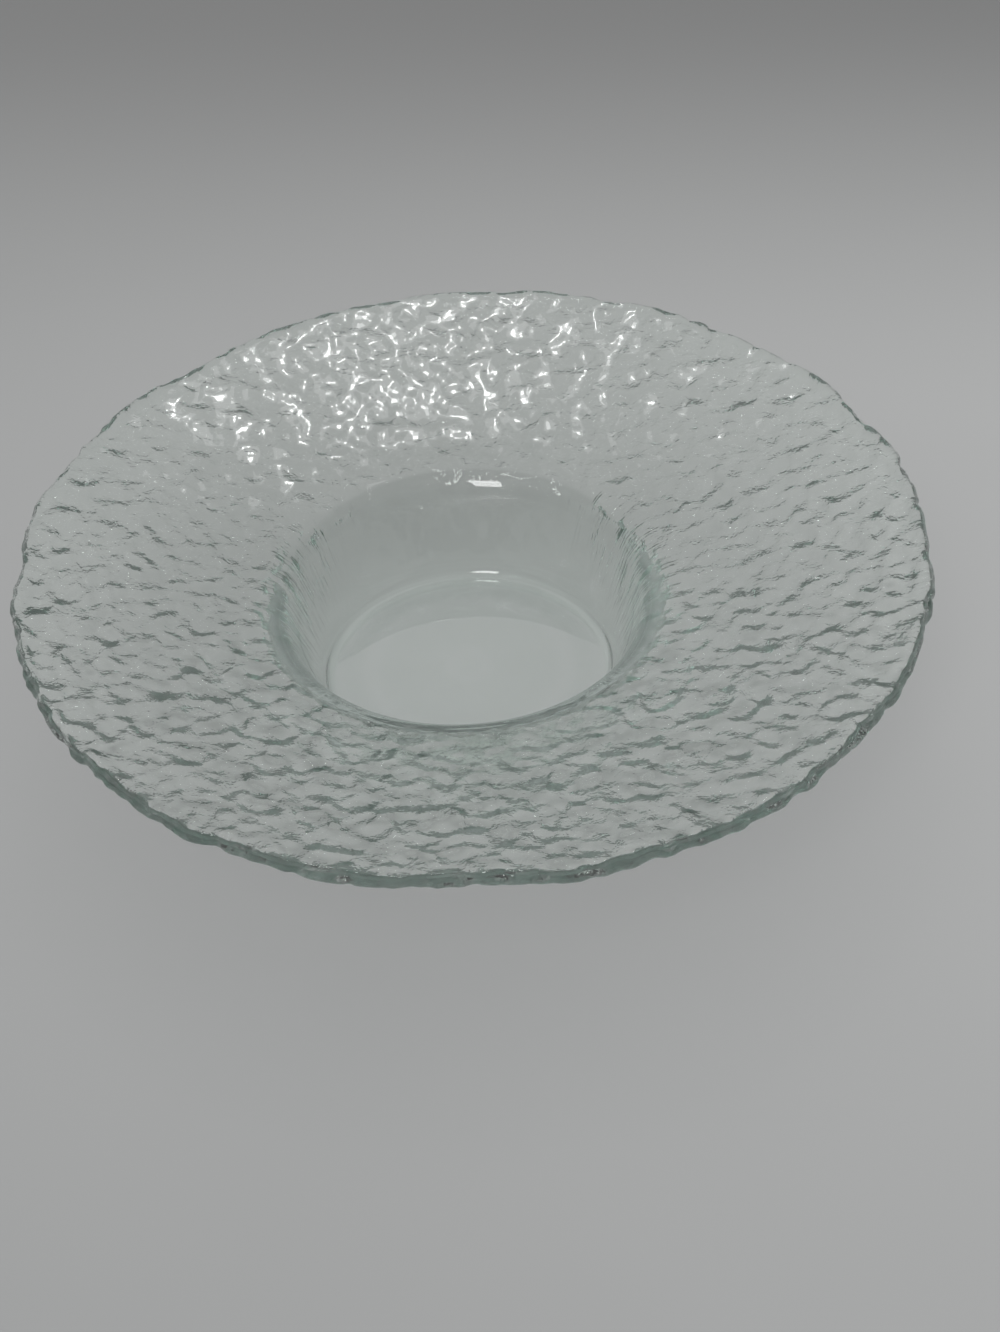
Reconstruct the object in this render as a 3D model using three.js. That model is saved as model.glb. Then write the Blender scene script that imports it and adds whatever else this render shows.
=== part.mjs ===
// Glass pillar candle holder: one piece of clear pressed glass, a deep round well in a wide hammered rim.
// Millimetres, +Z up. The origin is the middle of the foot, on the table, under the well's axis.
import * as THREE from "three";

// Driving dimensions of the well, which takes a 76 mm pillar candle
const floorRadius = 41.6; // inside radius where the wall meets the floor, before it is rounded
const baseThickness = 9;
const wallThickness = 6;
const wallDraft = 20; // degrees that the wall leans out from upright
const floorFillet = 3.5;
const heelFillet = 5;

// Driving dimensions of the flange, the wide rim that slopes down to the well
const rimRadius = 127;
const rimHeight = 56.8; // the rim's upper corner, before it is rounded, above the table
const flangeThickness = 4;
const flangeSlope = 14.4; // degrees that the flange rises towards its edge
const lipFillet = 9.3; // the smooth round lip between flange and well
const edgeFillet = 1.6; // both corners of the rim's edge
const rimShiftX = 3; // the pressed rim isn't quite centred on the well
const rimShiftY = 1.2;

// Hammered relief of the flange's underside, and the irregular scallops of its edge
const hammerDepth = 0.55; // typical height of a bump above the mean face
const upperShare = 0.25; // the nearly smooth upper face's relief, as a share of the underside's
const hammerLength = 17; // from bump to bump
const hammerWaves = 9; // directions that the ripples run in
const hammerFade = 16; // width of the band in which the relief dies out towards the lip
const scallops = [
  // Rounds of lobes that add up to the edge's outline; the turn is in degrees to the first crest.
  { lobes: 3, depth: 0.5, turn: -49 },
  { lobes: 5, depth: 0.4, turn: 17 },
  { lobes: 8, depth: 0.3, turn: 22 },
  { lobes: 13, depth: 0.3, turn: 6 },
  { lobes: 16, depth: 0.4, turn: 10 },
  { lobes: 23, depth: 0.25, turn: -1 },
];

// Facets
const facetsAround = 120;
const upperRings = 11; // across the flange
const lowerRings = 8;
const wallRings = 2;
const upperSteps = 5; // along each fillet
const lowerSteps = 4;
const edgeSteps = 2;

const glass = new THREE.MeshStandardMaterial({
  color: 0xd9e3df,
  roughness: 0.03,
  metalness: 0,
  transparent: true,
  opacity: 0.35,
});

const radians = THREE.MathUtils.degToRad;

// Section of the holder: x is the distance from the well's axis, y the height above the table.
const origin = new THREE.Vector2(0, 0);
const outwards = new THREE.Vector2(1, 0);
const wallAlong = outwards.clone().rotateAround(origin, radians(90 - wallDraft));
const flangeAlong = outwards.clone().rotateAround(origin, radians(flangeSlope));

// The point where two straight lines of the section cross.
function crossing(a, alongA, b, alongB) {
  const gap = b.clone().sub(a);
  return a.clone().addScaledVector(alongA, gap.cross(alongB) / alongA.cross(alongB));
}

// A point moved out of the glass's upper face and square to it, to the lower face.
function behind(point, direction, thickness) {
  return new THREE.Vector2(point.x + direction.y * thickness, point.y - direction.x * thickness);
}

// Upper face: floor, well wall and flange, with their corners still sharp
const floorCorner = new THREE.Vector2(floorRadius, baseThickness);
const rimTop = new THREE.Vector2(rimRadius, rimHeight);
const lipCorner = crossing(floorCorner, wallAlong, rimTop, flangeAlong);

// Lower face, one glass thickness below
const wallBack = behind(floorCorner, wallAlong, wallThickness);
const rimBottom = behind(rimTop, flangeAlong, flangeThickness);
const lipBackCorner = crossing(wallBack, wallAlong, rimBottom, flangeAlong);
const heelCorner = crossing(wallBack, wallAlong, origin, outwards);

// Rounds the corner between the points before and after it, and returns the arc's points.
function rounded(before, corner, after, radius, steps) {
  const toBefore = before.clone().sub(corner).normalize();
  const toAfter = after.clone().sub(corner).normalize();
  const halfAngle = Math.acos(toBefore.dot(toAfter)) / 2;
  const middle = toBefore.clone().add(toAfter).normalize();
  const centre = corner.clone().addScaledVector(middle, radius / Math.sin(halfAngle));
  const first = corner.clone().addScaledVector(toBefore, radius / Math.tan(halfAngle)).sub(centre);
  const turn = (Math.PI - 2 * halfAngle) * Math.sign(toAfter.cross(toBefore));
  const arc = [];
  for (let i = 0; i <= steps; i++) {
    arc.push(first.clone().rotateAround(origin, (turn * i) / steps).add(centre));
  }
  return arc;
}

// Points between two others, without the ends.
function between(from, to, steps) {
  const points = [];
  for (let i = 1; i < steps; i++) points.push(from.clone().lerp(to, i / steps));
  return points;
}

function section() {
  const axisFloor = new THREE.Vector2(0, baseThickness);
  const heel = rounded(origin, heelCorner, lipBackCorner, heelFillet, lowerSteps);
  const lipBackFillet = lipFillet - flangeThickness;
  const lipBack = rounded(heelCorner, lipBackCorner, rimBottom, lipBackFillet, lowerSteps);
  const edgeLow = rounded(lipBackCorner, rimBottom, rimTop, edgeFillet, edgeSteps);
  const edgeHigh = rounded(rimBottom, rimTop, lipCorner, edgeFillet, edgeSteps);
  const lip = rounded(rimTop, lipCorner, floorCorner, lipFillet, upperSteps);
  const floor = rounded(lipCorner, floorCorner, axisFloor, floorFillet, upperSteps);
  return [
    origin,
    ...heel,
    ...between(heel.at(-1), lipBack[0], wallRings),
    ...lipBack,
    ...between(lipBack.at(-1), edgeLow[0], lowerRings),
    ...edgeLow,
    ...edgeHigh,
    ...between(edgeHigh.at(-1), lip[0], upperRings),
    ...lip,
    ...between(lip.at(-1), floor[0], wallRings),
    ...floor,
    axisFloor,
  ];
}

// Round bumps and hollows: ripples of about one length, spread evenly over all directions, added up.
function hammered(x, y) {
  let sum = 0;
  for (let i = 0; i < hammerWaves; i++) {
    const heading = (Math.PI * i) / hammerWaves;
    const length = hammerLength * (1 + 0.2 * Math.sin(2.4 * i));
    const distance = x * Math.cos(heading) + y * Math.sin(heading);
    sum += Math.sin((2 * Math.PI * distance) / length + i * i);
  }
  return sum / Math.sqrt(hammerWaves / 2);
}

// How far the edge stands out of a true circle at an angle round it.
function scalloped(angle) {
  let sum = 0;
  for (const { lobes, depth, turn } of scallops) {
    sum += depth * Math.cos(lobes * (angle - radians(turn)));
  }
  return sum;
}

// The relief's share at a point of the flange: 1 on the underside, and turning over to the upper face's
// share round the edge.
function faceShare(radius, height) {
  const upperFace = rimHeight - (rimRadius - radius) * Math.tan(radians(flangeSlope));
  const upwards = THREE.MathUtils.smoothstep(height, upperFace - flangeThickness, upperFace);
  return THREE.MathUtils.lerp(1, upperShare, upwards);
}

// The revolved blank gets its scallops, its relief and the rim's shift, all of which die out at the lip.
function pressed(geometry) {
  const lipOutside = rounded(rimTop, lipCorner, floorCorner, lipFillet, upperSteps)[0].x;
  const point = new THREE.Vector3();
  const positions = geometry.getAttribute("position");
  for (let i = 0; i < positions.count; i++) {
    point.fromBufferAttribute(positions, i);
    const radius = Math.hypot(point.x, point.y);
    if (radius <= lipOutside) continue;
    const share = (radius - lipOutside) / (rimRadius - lipOutside);
    const depth = hammerDepth * faceShare(radius, point.z);
    const relief = THREE.MathUtils.smoothstep(radius, lipOutside, lipOutside + hammerFade);
    const stretch = 1 + (scalloped(Math.atan2(point.y, point.x)) * share * share) / radius;
    point.z += depth * relief * hammered(point.x, point.y);
    point.x = point.x * stretch + rimShiftX * share;
    point.y = point.y * stretch + rimShiftY * share;
    positions.setXYZ(i, point.x, point.y, point.z);
  }
  geometry.computeVertexNormals();
  return geometry;
}

const blank = new THREE.LatheGeometry(section(), facetsAround).rotateX(Math.PI / 2);
const holder = new THREE.Mesh(pressed(blank), glass);
holder.name = "glass_holder";

const group = new THREE.Group();
group.name = "glass_pillar_candle_holder";
group.add(holder);

export default group;
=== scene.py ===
"""Glass pillar candle holder: a smooth well in a wide hammered flange, pressed in one piece of glass.

Metres, +Z up. The origin is the middle of the foot, on the table, under the well's axis.
The holder is revolved from its section by mesh code, and a Geometry Nodes tree then presses the
scallops and the hammer marks into it.
"""
import math

import bpy
from mathutils import Matrix, Vector


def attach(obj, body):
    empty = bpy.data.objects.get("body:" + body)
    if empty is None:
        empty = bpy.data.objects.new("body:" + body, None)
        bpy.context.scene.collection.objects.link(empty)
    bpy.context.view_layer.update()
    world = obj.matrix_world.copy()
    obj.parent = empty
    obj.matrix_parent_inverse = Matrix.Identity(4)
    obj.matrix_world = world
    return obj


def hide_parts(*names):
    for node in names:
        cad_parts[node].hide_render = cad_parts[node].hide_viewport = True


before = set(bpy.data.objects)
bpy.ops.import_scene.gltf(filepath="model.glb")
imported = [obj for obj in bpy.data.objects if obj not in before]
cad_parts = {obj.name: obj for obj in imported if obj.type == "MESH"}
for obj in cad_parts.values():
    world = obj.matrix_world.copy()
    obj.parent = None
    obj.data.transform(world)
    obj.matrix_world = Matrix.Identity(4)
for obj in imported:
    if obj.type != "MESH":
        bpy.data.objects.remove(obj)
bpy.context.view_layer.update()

bl_info = {
    "name": "Hammered glass candle holder",
    "version": (1, 0, 0),
    "blender": (4, 5, 0),
    "location": "View3D > Sidebar > Candle Holder",
    "description": "Makes a pressed glass pillar candle holder with a hammered flange, and its stage",
    "category": "Add Mesh",
}

MM = 0.001
NODE = "glass_holder"
BODY = "root"
FACE_SIDE = "face_side"
LAMP_DISTANCE = 2.2
TABLE_REACH = 3.0
CAMERA_CLIP = 0.01
MOST_BOUNCES = 32

# Ray depths past which light has turned inside the glass, and has turned there many times
FEW_TURNS = 3.5
MANY_TURNS = 6.5

# Lamps under the ceiling: two directions as the well sees them, width in metres and power in watts
LAMPS = (
    ("lamp_beyond", (0.043, 0.496, 0.868), (0.007, 0.494, 0.872), 0.065, 0.3),
    ("shade_beyond", (0.06, 0.5, 0.865), (-0.01, 0.49, 0.875), 0.14, 0.35),
    ("glow_beyond", (0.12, 0.5, 0.86), (-0.06, 0.49, 0.88), 0.35, 0.65),
    ("lamp_over_camera", (-0.33, -0.57, 0.762), (-0.11, -0.65, 0.762), 0.85, 14),
)

# Steps along each stretch of the section, apart from the flange
ALONG = {
    "foot": 6,
    "heel": 8,
    "outer wall": 9,
    "lip back": 8,
    "edge": 4,
    "lip": 14,
    "inner wall": 6,
    "floor fillet": 10,
    "floor": 8,
}
# Rings at the outer wall's foot that are cut as coarse as the foot
SMOOTH_RINGS = 2

# The hammer marks' depth on the far side, and what the near side adds, as shares
FAR_MARKS = 0.56
NEARER_MARKS = 0.32

# A large mark's height is the crown less its squared distance, times the depth and the gain
MARK_CROWN = 0.3
MARK_GAIN = 2.5
# Softness of the creases between large marks, and pushes per mark that warp the marks out of round
CREASE_SOFTNESS = 0.6
WARP_SHARE = 0.6
# How much faster the marks change up the edge than along the flange
EDGE_CHANGE = 4.0

# Noises: scale per metre, but per radian round the axis for the streaks, and detail
WAVE_NOISE = (90.0, 0.0)
NOTCH_NOISE = (135.0, 1.5)
RIPPLE_NOISE = (650.0, 2.0)
STREAK_NOISE = (46.0, 2.0)
SWELL_NOISE = (120.0, 0.8)
CLOUD_NOISE = (6.0, 3.0)

# Radii in metres, each from where something begins to where it is full
RIPPLES_BEGIN = (0.052, 0.06)
STREAKS_BEGIN = (0.046, 0.054)
STREAKS_END = (0.066, 0.058)
SWELLS_BEGIN = (0.057, 0.07)
WELL_BEGINS = (0.06, 0.05)
# Painted pool of light: radii within which the table under the well is painted lighter
PAINTED_POOL_RADII = (0.07, 0.05)

# Shares of the way from the lip to the edge, between which marks fade out and notches begin
EDGE_SMOOTH = (1.01, 0.95)
EDGE_NOTCHED = (0.93, 1.0)
# Levels of the notches' noise, from no notch to a whole one
NOTCH_LEVELS = (0.35, 0.75)
# Shares of the way to the right or left between which the streaks begin
STREAKS_ASIDE = (0.5, 0.9)
# How fast the streaks change up the wall, per metre, against once per radian round it
STREAK_STRETCH = 1.8
# How much closer together the swells are along each axis
SWELL_STRETCH = (1.15, 0.85, 1.0)

# Distances outside the lip, in metres, where the marks and the upper face's waves are full
FADE_PAST_LIP = 0.001
WAVES_PAST_LIP = 0.01

# Heights above the middle of the flange, in metres, that part its faces
UPPER_FACE = (0.001, 0.002)
LOWER_FACE = (0.001, -0.001)

# Distances behind the axis, in metres, each from where something begins to where it is full
MARKS_NEARER = (0.06, -0.04)
SWELLS_NEARER = (0.03, -0.04)
# Painted light: the table gets lighter from its front towards the axis
PAINTED_LIGHT_BACK = (-0.28, 0.0)
# Painted shade: the table darkens in the distance
PAINTED_SHADE_FARTHER = (0.13, 0.5)
# Distances to the right of the axis between which painted light makes the table lighter
PAINTED_LIGHT_RIGHT = (-0.2, 0.2)
# The way in which painted shade darkens the table in the distance
PAINTED_SHADE_AWAY = (0.1, 1.0, 0.0)

# The room as directions, each part from where it begins to where it is full
CEILING_RISE = (0.4, 0.95)
CEILING_BEYOND = (0.15, 0.42)
FAR_SIDE_RISE = (0.05, 0.5)
FAR_SIDE_BEYOND = (0.3, 0.7)
# How much brighter the room's far side gets towards the left, as a share
FAR_SIDE_LEFT = 0.5

# Painted light and shade of the table, as shares of its colour: its darkest, its lightest, and the
# painted pool of light under the well
TABLE_PAINTED_DARK = 0.82
TABLE_PAINTED_LIGHT = 1.18
TABLE_PAINTED_POOL = 1.05
# Where the table's painted shade starts, and what its random clouds, the painted light towards the right
# and the painted light towards the back add to it
PAINTED_SHADE_START = -0.064
CLOUD_LEVELS = (0.2, 0.8)
CLOUD_SHARE = 0.11
PAINTED_LIGHT_RIGHT_SHARE = 0.55
PAINTED_LIGHT_BACK_SHARE = 0.36
TABLE_ROUGHNESS = 0.5
TABLE_SHINE = 0.3

# Lobes round the edge, their depth in millimetres and the turn to their first crest in degrees
SCALLOPS = (
    (3, 0.5, -49),
    (5, 0.4, 17),
    (8, 0.3, 22),
    (13, 0.3, 6),
    (16, 0.4, 10),
    (23, 0.25, -1),
)


def length(name, description, millimetres):
    return bpy.props.FloatProperty(
        name=name, description=description, default=millimetres * MM, min=0, unit="LENGTH"
    )


def turn(name, description, degrees):
    return bpy.props.FloatProperty(
        name=name, description=description, default=math.radians(degrees), subtype="ANGLE"
    )


def number(name, description, value):
    return bpy.props.FloatProperty(name=name, description=description, default=value)


def whole(name, description, value):
    return bpy.props.IntProperty(name=name, description=description, default=value, min=1)


def colour(name, description, value):
    return bpy.props.FloatVectorProperty(
        name=name, description=description, default=value, size=3, min=0, max=1, subtype="COLOR"
    )


class HolderSection(bpy.types.PropertyGroup):
    floor_radius: length("Floor radius", "Inside radius where the wall meets the floor", 41.6)
    base: length("Base", "Thickness of the base under the candle", 9)
    wall: length("Wall", "Thickness of the well's wall", 6)
    draft: turn("Draft", "How far the wall leans out from upright", 20)
    floor_fillet: length("Floor fillet", "Radius between floor and wall", 3.5)
    heel_fillet: length("Heel fillet", "Radius between foot and wall, outside", 5)
    rim_radius: length("Rim radius", "Mean radius of the flange's edge", 126.8)
    rim_height: length("Rim height", "The edge's upper corner above the table", 56.8)
    flange: length("Flange", "Thickness of the flange", 4)
    slope: turn("Slope", "How far the flange rises towards its edge", 14.4)
    lip_fillet: length("Lip fillet", "Radius of the lip between flange and well", 9.3)
    lip_back_fillet: length("Lip back fillet", "Radius under the lip, outside", 5.3)
    edge_fillet: length("Edge fillet", "Radius of both corners of the edge", 1.6)
    facets_around: whole("Facets around", "Steps round the flange's lower face", 720)
    upper_rings: whole("Upper rings", "Steps across the flange's upper face", 24)
    lower_rings: whole("Lower rings", "Steps across the flange's lower face", 76)


class HolderHammering(bpy.types.PropertyGroup):
    depth: length("Depth", "Height of the large hammer marks", 0.72)
    spacing: length("Spacing", "From one large mark to the next", 6.3)
    fine_depth: length("Fine depth", "Height of the small marks", 1.95)
    fine_spacing: length("Fine spacing", "From one small mark to the next", 4.2)
    warp: length("Warp", "How far the marks are pushed out of round", 2)
    fade: length("Fade", "Width of the band under the lip in which the marks die out", 9)
    swell: length("Swell", "Height of the upper face's long, faint swells", 0.2)
    chip: length("Chip", "Depth of the edge's accidental notches", 1.5)
    shift_x: length("Shift X", "How far the rim sits to the right of the well's axis", 3)
    shift_y: length("Shift Y", "How far the rim sits behind the well's axis", 1.2)


class HolderGlass(bpy.types.PropertyGroup):
    absorbed: colour("Body tint", "What a long way through the glass lets through", (0.5, 0.75, 0.66))
    face_tint: colour("Face tint", "What one face of the glass lets through", (0.95, 0.99, 0.962))
    density: number("Tint density", "How fast the tint deepens, per metre", 6)
    index: number("Index", "Refractive index", 1.5)
    roughness: number("Roughness", "Roughness of the polished well", 0.012)
    shadow: number("Shadow", "Share of a lamp's light that one face lets through", 0.885)
    ripple: length("Ripple", "Height of the fine ripples on the flange's lower face", 0.34)
    streak: number("Streak", "Height of the streaks at the mouth's sides, in ripples", 1.4)
    swell: length("Swell", "Height of the long swells on the upper face", 1.1)
    nearer_swell: length("Nearer swell", "What the near side adds to the swells", 1.4)


class HolderStage(bpy.types.PropertyGroup):
    table: colour("Table", "Colour of the table", (0.38, 0.385, 0.385))
    # Painted shade: the darker colour the table takes in the distance
    far_table_painted_shade: colour("Far table", "Colour of the table in the distance", (0.2, 0.202, 0.202))
    room: colour("Room", "Colour of the room's own light", (1.0, 1.0, 1.0))
    horizon: number("Horizon", "Strength of the room's light at the horizon", 0.05)
    overhead: number("Overhead", "Strength of the even light that falls on the table", 1.32)
    mirrored: number("Mirrored", "Strength of the ceiling beyond the table, seen in the glass", 1.25)
    low: number("Low", "Strength of the room's far side, seen in the glass at first hand", 0.95)
    deep: number("Deep", "Share of the mirrored ceiling left for light that turned in the glass", 0.4)
    deep_table: number("Deep table", "How much darker the table is for light that turned often", 0.3)
    behind: number("Behind", "Strength of the ceiling on the camera's side, seen in the glass", 0.4)
    camera_x: length("Camera X", "Camera to the right of the well's axis", 9.0)
    camera_back: length("Camera back", "Camera in front of the well's axis", 432.6)
    camera_z: length("Camera Z", "Camera above the table", 407.5)
    camera_pitch: turn("Pitch", "How far the camera looks down", 42.71)
    camera_roll: turn("Roll", "How far the camera is rolled", -3.27)
    lens: number("Lens", "Focal length in millimetres on a 36 mm sensor", 54.05)


GROUPS = {
    "holder_section": HolderSection,
    "holder_hammering": HolderHammering,
    "holder_glass": HolderGlass,
    "holder_stage": HolderStage,
}


def crossing(a, along_a, b, along_b):
    """The point where two straight lines of the section cross."""
    gap = b - a
    reach = (gap.x * along_b.y - gap.y * along_b.x) / (along_a.x * along_b.y - along_a.y * along_b.x)
    return a + along_a * reach


def behind(point, along, thickness):
    """A point moved square through the glass, from the upper face to the lower one."""
    return point + Vector((along.y, -along.x)) * thickness


def rounded(before, corner, after, radius, steps):
    """The points of the arc that rounds a corner."""
    to_before = (before - corner).normalized()
    to_after = (after - corner).normalized()
    half = math.acos(to_before.dot(to_after)) / 2
    centre = corner + (to_before + to_after).normalized() * radius / math.sin(half)
    first = corner + to_before * radius / math.tan(half) - centre
    side = math.copysign(1, to_after.x * to_before.y - to_after.y * to_before.x)
    swing = (math.pi - 2 * half) * side
    arc = []
    for i in range(steps + 1):
        arc.append(centre + Matrix.Rotation(swing * i / steps, 2) @ first)
    return arc


def between(start, end, steps):
    """Points between two others, without the ends."""
    return [start.lerp(end, i / steps) for i in range(1, steps)]


class Section:
    """The holder's section: x is the distance from the axis, y the height above the table."""

    def __init__(self, sizes):
        origin = Vector((0, 0))
        wall_along = Vector((math.sin(sizes.draft), math.cos(sizes.draft)))
        flange_along = Vector((math.cos(sizes.slope), math.sin(sizes.slope)))
        axis_floor = Vector((0, sizes.base))
        floor_corner = Vector((sizes.floor_radius, sizes.base))
        rim_top = Vector((sizes.rim_radius, sizes.rim_height))
        lip_corner = crossing(floor_corner, wall_along, rim_top, flange_along)
        wall_back = behind(floor_corner, wall_along, sizes.wall)
        rim_bottom = behind(rim_top, flange_along, sizes.flange)
        lip_back_corner = crossing(wall_back, wall_along, rim_bottom, flange_along)
        heel_corner = crossing(wall_back, wall_along, origin, Vector((1, 0)))

        heel = rounded(origin, heel_corner, lip_back_corner, sizes.heel_fillet, ALONG["heel"])
        lip_back = rounded(
            heel_corner, lip_back_corner, rim_bottom, sizes.lip_back_fillet, ALONG["lip back"]
        )
        edge_low = rounded(lip_back_corner, rim_bottom, rim_top, sizes.edge_fillet, ALONG["edge"])
        edge_high = rounded(rim_bottom, rim_top, lip_corner, sizes.edge_fillet, ALONG["edge"])
        self.lip = rounded(rim_top, lip_corner, floor_corner, sizes.lip_fillet, ALONG["lip"])
        floor = rounded(
            lip_corner, floor_corner, axis_floor, sizes.floor_fillet, ALONG["floor fillet"]
        )

        foot = between(origin, heel[0], ALONG["foot"])
        outer_wall = between(heel[-1], lip_back[0], ALONG["outer wall"])
        lower_face = between(lip_back[-1], edge_low[0], sizes.lower_rings)
        upper_face = between(edge_high[-1], self.lip[0], sizes.upper_rings)
        inner_wall = between(self.lip[-1], floor[0], ALONG["inner wall"])
        inside_floor = between(floor[-1], axis_floor, ALONG["floor"])

        self.outside = foot + heel + outer_wall[:SMOOTH_RINGS]
        self.textured = outer_wall[SMOOTH_RINGS:] + lip_back + lower_face + edge_low + edge_high
        self.inside = upper_face + self.lip + inner_wall + floor + inside_floor
        self.rings = self.outside + self.textured + self.inside
        self.edge_middle = (rim_top + rim_bottom) / 2
        self.flange_along = flange_along
        half = sizes.flange / 2
        self.sides = [-half] * len(self.outside)
        self.sides += [self.side(point) for point in self.textured]
        self.sides += [half] * len(self.inside)
        self.axis_points = (origin, axis_floor)

    def side(self, point):
        """How far a point of the lower face or the edge lies above the middle of the flange."""
        return (point - self.edge_middle).dot(Vector((-self.flange_along.y, self.flange_along.x)))

    def is_fine(self, index):
        """True for a ring on the textured lower face, which is cut twice as fine as the rest."""
        first = len(self.outside)
        return first <= index < first + len(self.textured)


def revolved_blank(name, section, facets):
    """A closed mesh turned round the axis, with half as many facets in the well as on the flange."""
    points, rings = [], []
    for index, ring in enumerate(section.rings):
        count = facets if section.is_fine(index) else facets // 2
        start = len(points)
        for i in range(count):
            angle = 2 * math.pi * i / count
            points.append((ring.x * math.cos(angle), ring.x * math.sin(angle), ring.y))
        rings.append(range(start, start + count))
    bottom, top = len(points), len(points) + 1
    points += [(0, 0, p.y) for p in section.axis_points]

    faces = [(bottom, b, a) for a, b in zip(rings[0], [*rings[0][1:], rings[0][0]])]
    for inner, outer in zip(rings, rings[1:]):
        faces += joined(inner, outer)
    faces += [(top, a, b) for a, b in zip(rings[-1], [*rings[-1][1:], rings[-1][0]])]

    mesh = bpy.data.meshes.new(name)
    mesh.from_pydata(points, [], faces)
    mesh.validate()
    sides = mesh.attributes.new(FACE_SIDE, "FLOAT", "POINT")
    for side, span in zip(section.sides, rings):
        for index in span:
            sides.data[index].value = side
    piece = bpy.data.objects.new(name, mesh)
    bpy.context.scene.collection.objects.link(piece)
    return piece


def joined(inner, outer):
    """Faces between two rings, one of which may have twice as many points as the other."""
    faces = []
    few, many = min(len(inner), len(outer)), max(len(inner), len(outer))
    for i in range(few):
        j = (i + 1) % few
        if few == many:
            faces.append((inner[i], inner[j], outer[j], outer[i]))
            continue
        a, b, c = 2 * i, 2 * i + 1, (2 * i + 2) % many
        if len(inner) == many:
            faces += [(inner[a], inner[b], outer[i]), (inner[b], outer[j], outer[i])]
            faces.append((inner[b], inner[c], outer[j]))
        else:
            faces += [(inner[i], outer[b], outer[a]), (inner[i], inner[j], outer[b])]
            faces.append((inner[j], outer[c], outer[b]))
    return faces


class Tree:
    """Short calls for building a node tree."""

    def __init__(self, tree):
        self.tree = tree

    def node(self, kind, values=None, **settings):
        """A new node with its settings, and its inputs fed by name or number."""
        made = self.tree.nodes.new(kind)
        for name, value in settings.items():
            setattr(made, name, value)
        for socket, value in (values or {}).items():
            self.feed(made.inputs[socket], value)
        return made

    def feed(self, socket, value):
        """Links a socket or sets a plain value."""
        if isinstance(value, bpy.types.NodeSocket):
            self.tree.links.new(value, socket)
        else:
            socket.default_value = value

    def maths(self, operation, *values):
        """The result of a Math node."""
        made = self.tree.nodes.new("ShaderNodeMath")
        made.operation = operation
        for socket, value in zip(made.inputs, values):
            self.feed(socket, value)
        return made.outputs[0]

    def vectors(self, operation, *values, scale=None):
        """The result of a Vector Math node, which is a number for a length or a dot product."""
        made = self.tree.nodes.new("ShaderNodeVectorMath")
        made.operation = operation
        for socket, value in zip(made.inputs, values):
            self.feed(socket, value)
        if scale is not None:
            self.feed(made.inputs["Scale"], scale)
        return made.outputs[1 if operation in ("LENGTH", "DOT_PRODUCT") else 0]

    def blend(self, share, first, second):
        """A colour between two others, which are sockets or plain colours."""
        made = self.node("ShaderNodeMix", data_type="RGBA")
        self.feed(made.inputs[0], share)
        for socket, value in ((made.inputs[6], first), (made.inputs[7], second)):
            self.feed(socket, value if isinstance(value, bpy.types.NodeSocket) else (*value, 1))
        return made.outputs[2]

    def noise(self, spot, scale, detail):
        """A soft noise, from 0 to 1."""
        values = {"Vector": spot, "Scale": scale, "Detail": detail}
        return self.node("ShaderNodeTexNoise", values).outputs["Fac"]

    def mapped(self, value, low, high, kind="SMOOTHSTEP"):
        """A value mapped from between two limits to between 0 and 1."""
        made = self.node("ShaderNodeMapRange", interpolation_type=kind)
        self.feed(made.inputs["Value"], value)
        self.feed(made.inputs["From Min"], low)
        self.feed(made.inputs["From Max"], high)
        return made.outputs[0]


TREE_SIZES = (
    "Depth",
    "Spacing",
    "Fine depth",
    "Fine spacing",
    "Warp",
    "Fade",
    "Swell",
    "Chip",
    "Shift X",
    "Shift Y",
    "Lip radius",
    "Rim radius",
)


def hammering_tree(material):
    """The node tree that presses the scallops and the hammer marks into the blank."""
    group = bpy.data.node_groups.new("press_flange", "GeometryNodeTree")
    group.interface.new_socket("Geometry", in_out="INPUT", socket_type="NodeSocketGeometry")
    for name in TREE_SIZES:
        group.interface.new_socket(name, in_out="INPUT", socket_type="NodeSocketFloat")
    group.interface.new_socket("Geometry", in_out="OUTPUT", socket_type="NodeSocketGeometry")
    tree = Tree(group)
    given = tree.node("NodeGroupInput").outputs
    place = tree.node("GeometryNodeInputPosition").outputs[0]
    split = tree.node("ShaderNodeSeparateXYZ", {"Vector": place}).outputs
    level = tree.node("ShaderNodeCombineXYZ", {"X": split["X"], "Y": split["Y"]}).outputs[0]
    radius = tree.vectors("LENGTH", level)

    reach = tree.maths("SUBTRACT", given["Rim radius"], given["Lip radius"])
    share = tree.maths("DIVIDE", tree.maths("SUBTRACT", radius, given["Lip radius"]), reach)
    share = tree.maths("MAXIMUM", share, 0.0)
    smooth_edge = tree.mapped(share, *EDGE_SMOOTH)
    height = tree.maths("MULTIPLY", relief(tree, given, split, level, radius), smooth_edge)
    normal = tree.node("GeometryNodeInputNormal").outputs[0]
    marks = tree.vectors("SCALE", normal, scale=height)
    push = edge_push(tree, given, place, split, share)
    outward = tree.vectors("SCALE", tree.vectors("NORMALIZE", level), scale=push)
    shift = {"X": given["Shift X"], "Y": given["Shift Y"]}
    rim_shift = tree.node("ShaderNodeCombineXYZ", shift).outputs[0]
    rim_shift = tree.vectors("SCALE", rim_shift, scale=share)

    offset = tree.vectors("ADD", tree.vectors("ADD", marks, outward), rim_shift)
    shape = given["Geometry"]
    for kind, values in (
        ("GeometryNodeSetPosition", {"Offset": offset}),
        ("GeometryNodeSetShadeSmooth", {"Shade Smooth": True}),
        ("GeometryNodeRealizeInstances", {}),
        ("GeometryNodeSetMaterial", {"Material": material}),
    ):
        shape = tree.node(kind, {"Geometry": shape, **values}).outputs[0]
    tree.node("NodeGroupOutput", {"Geometry": shape})
    return group


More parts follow.
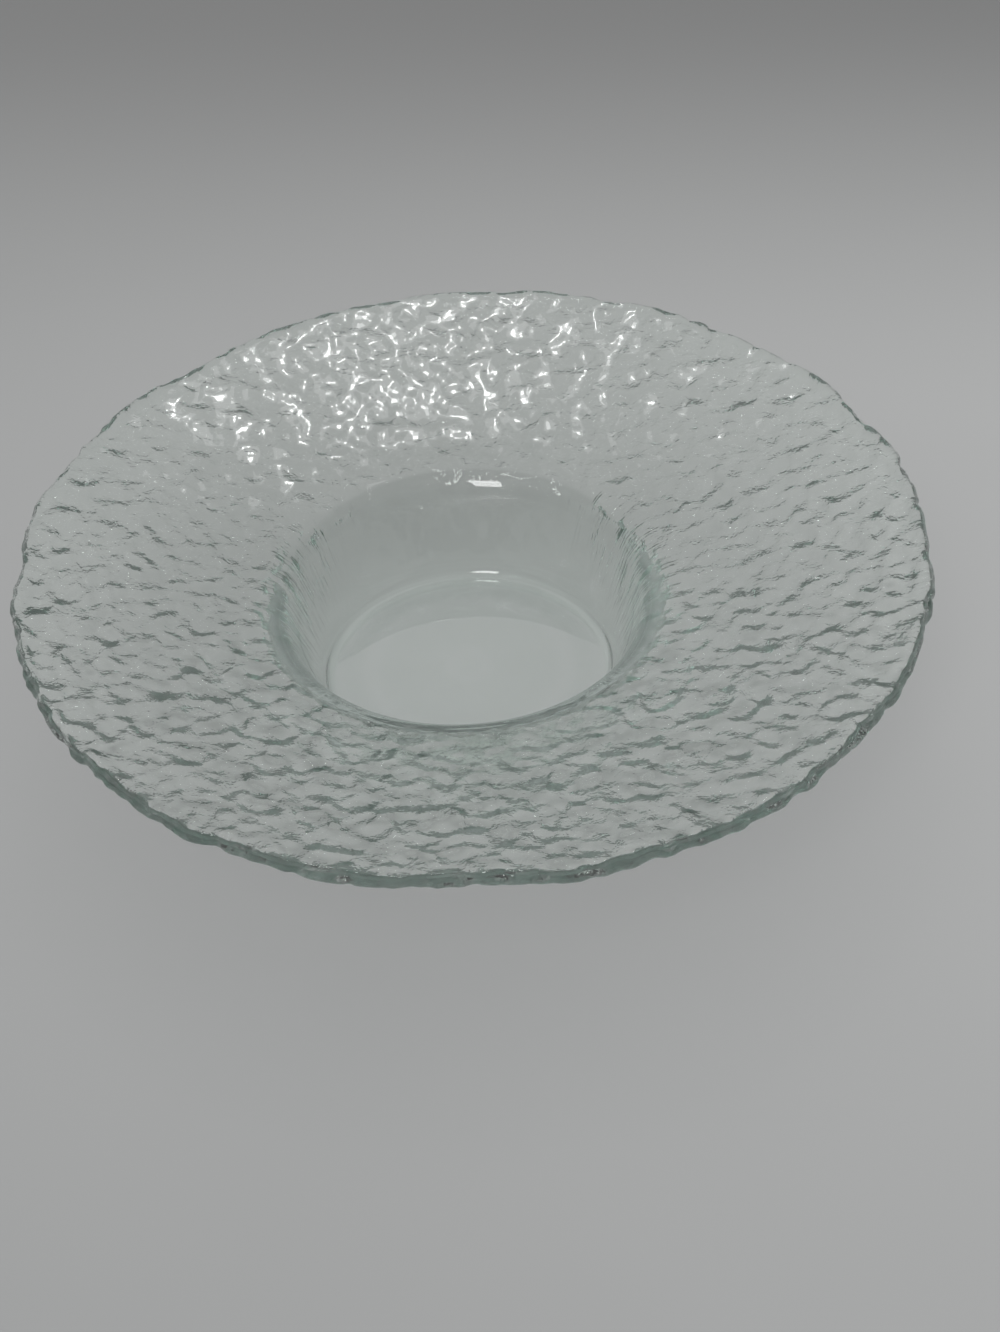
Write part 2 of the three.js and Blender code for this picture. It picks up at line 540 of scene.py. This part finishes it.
def relief(tree, given, split, level, radius):
    """Height along the normal: deep hammer marks on the lower face, faint waves on the upper one."""
    side = tree.node(
        "GeometryNodeInputNamedAttribute", {"Name": FACE_SIDE}, data_type="FLOAT"
    ).outputs[0]
    start = tree.maths("SUBTRACT", given["Lip radius"], given["Fade"])
    faded = tree.mapped(radius, start, tree.maths("ADD", given["Lip radius"], FADE_PAST_LIP))
    nearer = tree.mapped(split["Y"], *MARKS_NEARER)
    deeper = tree.maths("MULTIPLY_ADD", nearer, NEARER_MARKS, FAR_MARKS)
    marks = hammer_marks(tree, given, level, side)
    marks = tree.maths("MULTIPLY", marks, tree.maths("MULTIPLY", faded, deeper))

    waves = tree.maths("SUBTRACT", tree.noise(level, *WAVE_NOISE), 0.5)
    waves = tree.maths("MULTIPLY", waves, given["Swell"])
    clear_of_lip = tree.maths("ADD", given["Lip radius"], WAVES_PAST_LIP)
    waves = tree.maths("MULTIPLY", waves, tree.mapped(radius, given["Lip radius"], clear_of_lip))
    on_top = tree.mapped(side, *UPPER_FACE)
    return tree.node("ShaderNodeMix", {"Factor": on_top, "A": marks, "B": waves}).outputs[0]


def edge_push(tree, given, place, split, share):
    """How far the edge stands out of a true circle: its scallops, less its accidental notches."""
    angle = tree.maths("ARCTAN2", split["Y"], split["X"])
    scallop = 0.0
    for lobes, depth, degrees in SCALLOPS:
        phase = tree.maths("MULTIPLY_ADD", angle, float(lobes), -lobes * math.radians(degrees))
        wave = tree.maths("MULTIPLY", tree.maths("COSINE", phase), depth * MM)
        scallop = tree.maths("ADD", wave, scallop)
    scallop = tree.maths("MULTIPLY", scallop, tree.maths("MULTIPLY", share, share))
    notches = tree.mapped(tree.noise(place, *NOTCH_NOISE), *NOTCH_LEVELS)
    notches = tree.maths("MULTIPLY", notches, given["Chip"])
    notches = tree.maths("MULTIPLY", notches, tree.mapped(share, *EDGE_NOTCHED))
    return tree.maths("SUBTRACT", scallop, notches)


def hammer_marks(tree, given, level, side):
    """Height of the hammer marks: large rounded bumps parted by creases, with small marks on them."""
    lift = tree.maths("MULTIPLY", side, EDGE_CHANGE)
    lifted = tree.node("ShaderNodeCombineXYZ", {"Z": lift}).outputs[0]
    spot = tree.vectors("ADD", level, lifted)
    push_scale = tree.maths("DIVIDE", WARP_SHARE, given["Spacing"])
    push = tree.node(
        "ShaderNodeTexNoise", {"Vector": spot, "Scale": push_scale, "Detail": 1.0}
    ).outputs["Color"]
    push = tree.vectors("SUBTRACT", push, (0.5, 0.5, 0.5))
    warped = tree.vectors("MULTIPLY_ADD", push, tree.maths("MULTIPLY", given["Warp"], 2.0), spot)
    large_scale = tree.maths("DIVIDE", 1.0, given["Spacing"])
    cells = tree.node(
        "ShaderNodeTexVoronoi",
        {"Vector": warped, "Scale": large_scale, "Smoothness": CREASE_SOFTNESS},
        feature="SMOOTH_F1",
    ).outputs["Distance"]
    crown = tree.maths("SUBTRACT", MARK_CROWN, tree.maths("POWER", cells, 2.0))
    large = tree.maths("MULTIPLY", crown, tree.maths("MULTIPLY", given["Depth"], MARK_GAIN))
    small_scale = tree.maths("DIVIDE", 1.0, given["Fine spacing"])
    small = tree.maths("SUBTRACT", tree.noise(warped, small_scale, 0.0), 0.5)
    small = tree.maths("MULTIPLY", small, given["Fine depth"])
    return tree.maths("ADD", large, small)


def set_inputs(modifier, values):
    """Sets a modifier's inputs by their identifiers."""
    for item in modifier.node_group.interface.items_tree:
        if item.item_type == "SOCKET" and item.in_out == "INPUT" and item.name in values:
            modifier[item.identifier] = values[item.name]


def plain_copy(piece, name):
    """The evaluated object as a plain mesh with no modifier, and the old one removed."""
    bpy.context.view_layer.update()
    evaluated = piece.evaluated_get(bpy.context.evaluated_depsgraph_get())
    mesh = bpy.data.meshes.new_from_object(evaluated)
    mesh.name = name
    bpy.data.objects.remove(piece)
    made = bpy.data.objects.new(name, mesh)
    bpy.context.scene.collection.objects.link(made)
    return made


def pressed_glass(look):
    """Clear glass whose tint deepens with the way through it. Lamps shine through it on to the table."""
    material = bpy.data.materials.new("pressed_glass")
    material.use_nodes = True
    tree = Tree(material.node_tree)
    material.node_tree.nodes.clear()
    spot = tree.node("ShaderNodeTexCoord").outputs["Object"]
    split = tree.node("ShaderNodeSeparateXYZ", {"Vector": spot}).outputs
    level = tree.vectors("MULTIPLY", spot, (1, 1, 0))
    radius = tree.vectors("LENGTH", level)
    face = tree.node("ShaderNodeAttribute", attribute_name=FACE_SIDE).outputs["Fac"]
    below = ripples_below(tree, look, spot, split, level, radius, face)
    above = swells_above(tree, look, spot, split, radius, face)
    fine = tree.maths("MULTIPLY_ADD", below, look.ripple, above)
    bump = tree.node("ShaderNodeBump", {"Height": fine, "Distance": 1.0}).outputs[0]
    glass = tree.node(
        "ShaderNodeBsdfPrincipled",
        {
            "Base Color": (*look.face_tint, 1),
            "Roughness": look.roughness,
            "IOR": look.index,
            "Transmission Weight": 1.0,
            "Normal": bump,
        },
    ).outputs[0]
    let_through = tree.mapped(radius, *WELL_BEGINS)
    dim = (look.shadow, look.shadow, look.shadow)
    clear = tree.node(
        "ShaderNodeBsdfTransparent", {"Color": tree.blend(let_through, dim, (1.0, 1.0, 1.0))}
    ).outputs[0]
    path = tree.node("ShaderNodeLightPath").outputs
    passing = tree.maths("MAXIMUM", path["Is Shadow Ray"], path["Is Diffuse Ray"])
    shown = tree.node("ShaderNodeMixShader", {0: passing, 1: glass, 2: clear}).outputs[0]
    body = tree.node(
        "ShaderNodeVolumeAbsorption", {"Color": (*look.absorbed, 1), "Density": look.density}
    ).outputs[0]
    tree.node("ShaderNodeOutputMaterial", {"Surface": shown, "Volume": body})
    return material


def ripples_below(tree, look, spot, split, level, radius, face):
    """Fine ripples on the flange's lower face, and streaks down the wall at the mouth's two sides."""
    ripple = tree.noise(spot, *RIPPLE_NOISE)
    ripple = tree.maths("MULTIPLY", ripple, tree.mapped(radius, *RIPPLES_BEGIN))
    stretched = tree.maths("MULTIPLY", split["Z"], STREAK_STRETCH)
    along = tree.node("ShaderNodeCombineXYZ", {"Z": stretched}).outputs[0]
    around = tree.vectors("ADD", tree.vectors("NORMALIZE", level), along)
    begun = tree.mapped(radius, *STREAKS_BEGIN)
    ended = tree.mapped(radius, *STREAKS_END)
    aside = tree.maths("DIVIDE", tree.maths("ABSOLUTE", split["X"]), radius)
    place = tree.maths("MULTIPLY", begun, ended)
    place = tree.maths("MULTIPLY", place, tree.mapped(aside, *STREAKS_ASIDE))
    streak = tree.maths("MULTIPLY", tree.noise(around, *STREAK_NOISE), place)
    under = tree.mapped(face, *LOWER_FACE)
    return tree.maths("MULTIPLY", tree.maths("MULTIPLY_ADD", streak, look.streak, ripple), under)


def swells_above(tree, look, spot, split, radius, face):
    """Long, faint swells on the flange's upper face, higher on the near side."""
    drawn = tree.vectors("MULTIPLY", spot, SWELL_STRETCH)
    swell = tree.noise(drawn, *SWELL_NOISE)
    swell = tree.maths("MULTIPLY", swell, tree.mapped(face, *UPPER_FACE))
    swell = tree.maths("MULTIPLY", swell, tree.mapped(radius, *SWELLS_BEGIN))
    nearer = tree.mapped(split["Y"], *SWELLS_NEARER)
    height = tree.maths("MULTIPLY_ADD", nearer, look.nearer_swell, look.swell)
    return tree.maths("MULTIPLY", swell, height)


class HOLDER_OT_glass(bpy.types.Operator):
    """Make the holder: revolve its section, press the flange and dress it in glass"""

    bl_idname = "holder.glass"
    bl_label = "Pressed glass holder"

    def execute(self, context):
        scene = context.scene
        section = Section(scene.holder_section)
        sizes, marks = scene.holder_section, scene.holder_hammering
        blank = revolved_blank("holder_blank", section, sizes.facets_around)
        press = blank.modifiers.new("press_flange", "NODES")
        press.node_group = hammering_tree(pressed_glass(scene.holder_glass))
        set_inputs(
            press,
            {
                "Depth": marks.depth,
                "Spacing": marks.spacing,
                "Fine depth": marks.fine_depth,
                "Fine spacing": marks.fine_spacing,
                "Warp": marks.warp,
                "Fade": marks.fade,
                "Swell": marks.swell,
                "Chip": marks.chip,
                "Shift X": marks.shift_x,
                "Shift Y": marks.shift_y,
                "Lip radius": section.lip[0].x,
                "Rim radius": sizes.rim_radius,
            },
        )
        holder = plain_copy(blank, "hammered_glass_holder")
        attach(holder, BODY)
        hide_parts(NODE)
        return {"FINISHED"}


def sheet(name, corners):
    """A flat piece between its corners."""
    mesh = bpy.data.meshes.new(name)
    mesh.from_pydata(corners, [], [tuple(range(len(corners)))])
    made = bpy.data.objects.new(name, mesh)
    bpy.context.scene.collection.objects.link(made)
    return made


def shaded(colour_value, share):
    """A plain colour made darker or lighter."""
    return tuple(share * channel for channel in colour_value)


def table_top(look):
    """A plain pale table with faint random clouds in its colour, and painted light and shade: lighter to
    the right and towards the back, a painted pool of light under the well, painted shade in the
    distance, and darker for light that has turned often in the glass.
    """
    material = bpy.data.materials.new("table_top")
    material.use_nodes = True
    tree = Tree(material.node_tree)
    shader = material.node_tree.nodes["Principled BSDF"]
    spot = tree.node("ShaderNodeTexCoord").outputs["Object"]
    split = tree.node("ShaderNodeSeparateXYZ", {"Vector": spot}).outputs
    cloud = tree.mapped(tree.noise(spot, *CLOUD_NOISE), *CLOUD_LEVELS, "LINEAR")
    level = tree.maths("MULTIPLY_ADD", cloud, CLOUD_SHARE, PAINTED_SHADE_START)
    # Painted light: the table's colour gets lighter towards the right and towards the back; the clouds
    # are random tone
    painted_light_right = tree.mapped(split["X"], *PAINTED_LIGHT_RIGHT, "LINEAR")
    level = tree.maths("MULTIPLY_ADD", painted_light_right, PAINTED_LIGHT_RIGHT_SHARE, level)
    painted_light_back = tree.mapped(split["Y"], *PAINTED_LIGHT_BACK)
    level = tree.maths("MULTIPLY_ADD", painted_light_back, PAINTED_LIGHT_BACK_SHARE, level)
    clouds_and_painted_light = tree.blend(level, shaded(look.table, TABLE_PAINTED_DARK), shaded(look.table, TABLE_PAINTED_LIGHT))
    # Painted pool of light: the table's colour is lighter under the well
    painted_pool = tree.mapped(tree.vectors("LENGTH", spot), *PAINTED_POOL_RADII)
    tone_and_painted_light = tree.blend(painted_pool, clouds_and_painted_light, shaded(look.table, TABLE_PAINTED_POOL))
    # Painted shade: the table's colour darkens in the distance
    away = tree.vectors("DOT_PRODUCT", spot, PAINTED_SHADE_AWAY)
    tone_and_painted_light = tree.blend(tree.mapped(away, *PAINTED_SHADE_FARTHER), tone_and_painted_light, look.far_table_painted_shade)
    depth = tree.node("ShaderNodeLightPath").outputs["Ray Depth"]
    turned = tree.maths("MULTIPLY", tree.maths("GREATER_THAN", depth, MANY_TURNS), look.deep_table)
    tree.feed(shader.inputs["Base Color"], tree.blend(turned, tone_and_painted_light, (0.0, 0.0, 0.0)))
    shader.inputs["Roughness"].default_value = TABLE_ROUGHNESS
    shader.inputs["Specular IOR Level"].default_value = TABLE_SHINE
    return material


def ceiling_lamp(name, start, end, width, power):
    """A strip of light under the ceiling, from one direction to another as the well sees them."""
    start, end = (Vector(way).normalized() * LAMP_DISTANCE for way in (start, end))
    middle = (start + end) / 2
    light = bpy.data.lights.new(name, "AREA")
    light.shape = "RECTANGLE"
    light.size = (end - start).length
    light.size_y = width
    light.energy = power
    lamp = bpy.data.objects.new(name, light)
    bpy.context.scene.collection.objects.link(lamp)
    along = (end - start).normalized()
    away = (middle - along * middle.dot(along)).normalized()
    turned = Matrix((along, away.cross(along), away)).transposed()
    lamp.matrix_world = Matrix.Translation(middle) @ turned.to_4x4()


def mirrored_room(tree, look, split, rise, depth):
    """What the glass mirrors: bright beyond the table, and dimmer once light has turned in the glass."""
    first = tree.maths("LESS_THAN", depth, FEW_TURNS)
    beyond = tree.mapped(split["Y"], *CEILING_BEYOND)
    beyond = tree.maths("MULTIPLY_ADD", beyond, look.mirrored - look.behind, look.behind)
    remaining = tree.maths("MULTIPLY_ADD", first, 1 - look.deep, look.deep)
    high = tree.maths("MULTIPLY", tree.maths("MULTIPLY", rise, beyond), remaining)
    low = tree.mapped(split["Y"], *FAR_SIDE_BEYOND)
    low = tree.maths("MULTIPLY", tree.mapped(split["Z"], *FAR_SIDE_RISE), low)
    leftward = tree.maths("MULTIPLY_ADD", split["X"], -FAR_SIDE_LEFT * look.low, look.low)
    low = tree.maths("MULTIPLY", tree.maths("MULTIPLY", low, leftward), first)
    return tree.maths("ADD", tree.maths("MAXIMUM", high, low), look.horizon)


def room_light(look):
    """An even, soft light on the table, and a room of light and dark parts for the glass to mirror."""
    world = bpy.data.worlds.new("room")
    world.use_nodes = True
    tree = Tree(world.node_tree)
    way = tree.node("ShaderNodeTexCoord").outputs["Generated"]
    split = tree.node("ShaderNodeSeparateXYZ", {"Vector": way}).outputs
    path = tree.node("ShaderNodeLightPath").outputs
    rise = tree.mapped(split["Z"], *CEILING_RISE)
    even = tree.maths("MULTIPLY_ADD", rise, look.overhead - look.horizon, look.horizon)
    mirrored = mirrored_room(tree, look, split, rise, path["Ray Depth"])
    seen = tree.maths("MAXIMUM", path["Is Glossy Ray"], path["Is Transmission Ray"])
    seen = tree.maths("MAXIMUM", seen, path["Is Camera Ray"])
    strength = tree.node("ShaderNodeMix", {"Factor": seen, "A": even, "B": mirrored}).outputs[0]
    background = world.node_tree.nodes["Background"]
    background.inputs["Color"].default_value = (*look.room, 1)
    tree.feed(background.inputs["Strength"], strength)
    return world


class HOLDER_OT_stage(bpy.types.Operator):
    """Make the stage: the table, the lamps, the room's light and the camera"""

    bl_idname = "holder.stage"
    bl_label = "Stage"

    def execute(self, context):
        look = context.scene.holder_stage
        reach = TABLE_REACH
        corners = [(-reach, -reach, 0), (reach, -reach, 0), (reach, reach, 0), (-reach, reach, 0)]
        table = sheet("table", corners)
        table.data.materials.append(table_top(look))
        for name, start, end, width, power in LAMPS:
            ceiling_lamp(name, start, end, width, power)
        context.scene.world = room_light(look)
        context.scene.cycles.max_bounces = MOST_BOUNCES
        context.scene.cycles.glossy_bounces = MOST_BOUNCES
        context.scene.cycles.transmission_bounces = MOST_BOUNCES
        self.add_camera(context.scene, look)
        context.scene.view_settings.view_transform = "Standard"
        return {"FINISHED"}

    def add_camera(self, scene, look):
        camera = bpy.data.objects.new("camera", bpy.data.cameras.new("camera"))
        scene.collection.objects.link(camera)
        camera.data.lens = look.lens
        ahead = Vector((0, math.cos(look.camera_pitch), -math.sin(look.camera_pitch)))
        right = Vector((1, 0, 0))
        up = right.cross(ahead)
        roll = look.camera_roll
        across = right * math.cos(roll) + up * math.sin(roll)
        upright = up * math.cos(roll) - right * math.sin(roll)
        turned = Matrix((across, upright, -ahead)).transposed()
        place = Matrix.Translation((look.camera_x, -look.camera_back, look.camera_z))
        camera.matrix_world = place @ turned.to_4x4()
        camera.data.clip_start = CAMERA_CLIP
        scene.camera = camera


class HOLDER_PT_panel(bpy.types.Panel):
    """Lists what the add-on makes, with its sizes and colours"""

    bl_label = "Candle Holder"
    bl_idname = "HOLDER_PT_panel"
    bl_space_type = "VIEW_3D"
    bl_region_type = "UI"
    bl_category = "Candle Holder"

    def draw(self, context):
        layout = self.layout
        for step in STEPS:
            layout.operator(step.bl_idname)
        for name, group in GROUPS.items():
            box = layout.box()
            for field in group.__annotations__:
                box.prop(getattr(context.scene, name), field)


STEPS = (HOLDER_OT_stage, HOLDER_OT_glass)
CLASSES = (*GROUPS.values(), *STEPS, HOLDER_PT_panel)


def register():
    for made in CLASSES:
        bpy.utils.register_class(made)
    for name, group in GROUPS.items():
        setattr(bpy.types.Scene, name, bpy.props.PointerProperty(type=group))


def unregister():
    for name in GROUPS:
        delattr(bpy.types.Scene, name)
    for made in reversed(CLASSES):
        bpy.utils.unregister_class(made)


def main():
    register()
    bpy.ops.holder.stage()
    bpy.ops.holder.glass()


if __name__ == "__main__":
    main()
